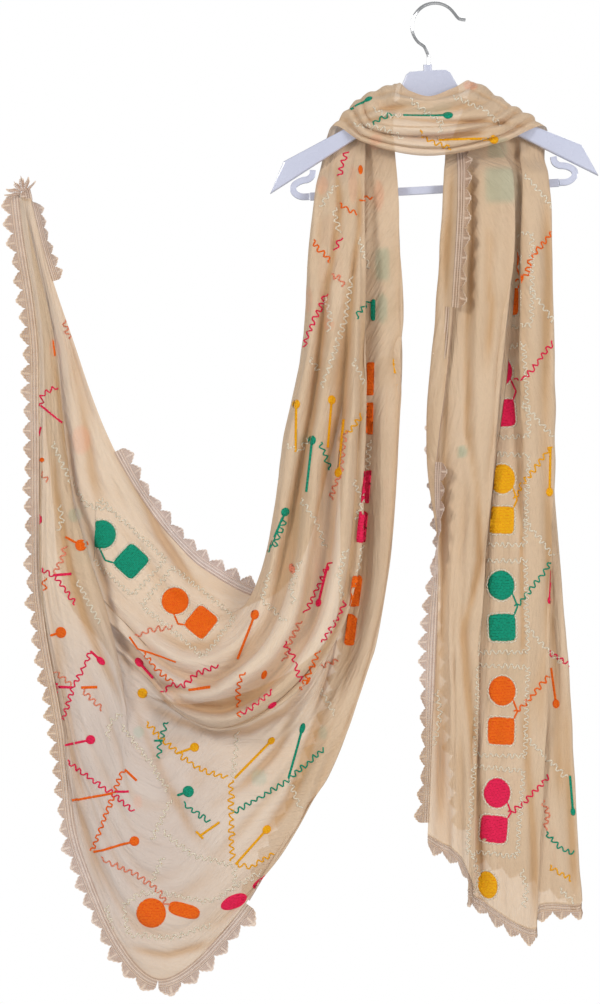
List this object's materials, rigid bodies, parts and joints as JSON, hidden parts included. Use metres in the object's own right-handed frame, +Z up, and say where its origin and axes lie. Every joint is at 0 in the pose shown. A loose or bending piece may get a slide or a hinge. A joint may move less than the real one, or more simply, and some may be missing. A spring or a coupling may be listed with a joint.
{
  "type": "embroidered chiffon dupatta on a plastic hanger",
  "caption": "Long sheer cream scarf with coloured stitched motifs and lace edges, laid over a plain plastic clothes hanger.",
  "frame": {"origin": "highest point inside the hook, where it bears on a rail", "axes": "+Z up, the front of the hanger and of the folded loop faces -Y, +X to the right seen from the front"},
  "size_m": [0.7233, 0.0924, 1.2002],
  "materials": {
    "chiffon": "sheer, soft crinkle",
    "lace": "satin thread",
    "lilac_plastic": "glossy",
    "hook_wire": "bright"
  },
  "bodies": {
    "root": {"swag_front": "chiffon", "fall_left": "chiffon", "fall_right": "chiffon", "lace_end_left": "lace", "lace_top_left": "lace", "lace_bottom_left": "lace", "lace_front_right": "lace", "lace_back_right": "lace", "lace_end_right": "lace", "hanger_neck": "lilac_plastic", "hanger_arm_left": "lilac_plastic", "hanger_arm_right": "lilac_plastic", "bar_notch_left": "lilac_plastic", "bar_notch_right": "lilac_plastic", "trouser_bar": "lilac_plastic", "hanger_hook": "hook_wire"}
  },
  "joints": []
}
